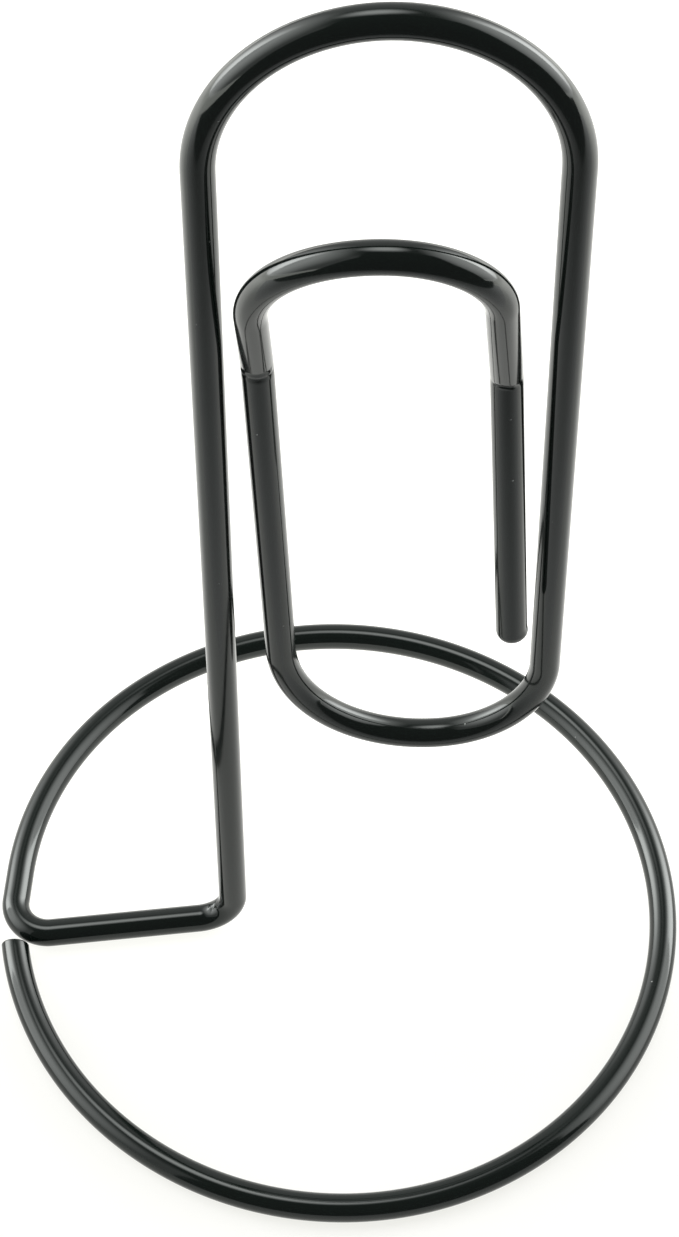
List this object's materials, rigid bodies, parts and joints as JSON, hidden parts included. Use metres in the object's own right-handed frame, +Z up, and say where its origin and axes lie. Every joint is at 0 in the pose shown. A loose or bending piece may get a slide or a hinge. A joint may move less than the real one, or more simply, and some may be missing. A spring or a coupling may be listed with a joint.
{
  "type": "memo clip holder",
  "caption": "Desk note holder bent from black coated wire: a ring foot, an upright leg and a paper-clip loop with a forward lip.",
  "frame": {"origin": "centre of the ring foot on the desk, under the clip", "axes": "+Z up, +X across the clip from its leg to its right side, -Y towards the side the note is read from"},
  "size_m": [0.0774, 0.0776, 0.1341],
  "materials": {
    "black_coat": "gloss"
  },
  "bodies": {
    "root": {"bent_wire": "black_coat"}
  },
  "joints": []
}
